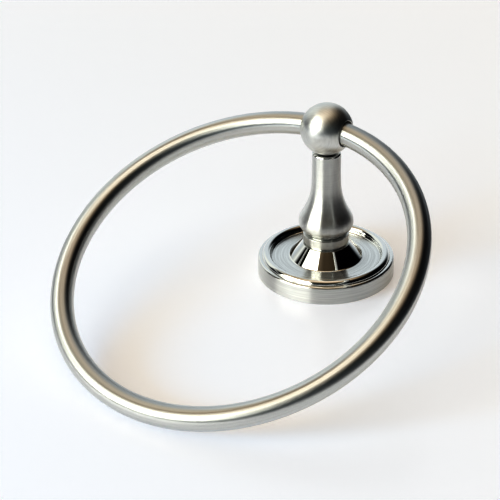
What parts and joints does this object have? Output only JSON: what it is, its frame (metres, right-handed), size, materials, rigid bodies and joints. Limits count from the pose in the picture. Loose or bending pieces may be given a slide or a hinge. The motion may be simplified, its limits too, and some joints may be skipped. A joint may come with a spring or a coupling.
{
  "type": "towel holder",
  "caption": "Wall-mount towel ring: round base flange, vase-shaped post and a ball whose cross hole carries a large round ring that swings freely.",
  "frame": {"origin": "centre of the back plane, where the bracket and the flange's rim meet the wall", "axes": "+Z along the post away from the wall, -Y towards the side that the ring rests on, X along the ring's swing axis"},
  "size_m": [0.157, 0.1675, 0.0795],
  "materials": {
    "satin_metal": "satin nickel, fine turned brushing",
    "polished_metal": "polished nickel face with a satin skirt",
    "ring_metal": "satin-polished nickel",
    "plated_steel": "zinc plated"
  },
  "bodies": {
    "mount": {"base_flange": "polished_metal", "post": "satin_metal", "ring_ball": "satin_metal", "ball_stud": "plated_steel", "post_screw": "plated_steel", "lock_washer": "plated_steel", "wall_bracket": "plated_steel", "grub_screw": "plated_steel"},
    "ring": {"towel_ring": "ring_metal"}
  },
  "joints": [
    {"name": "ring_swing", "type": "hinge", "parent": "mount", "child": "ring", "pos_m": [0, 0, 0.0683], "axis": [-1, 0, 0], "range_deg": [0, 231]}
  ]
}
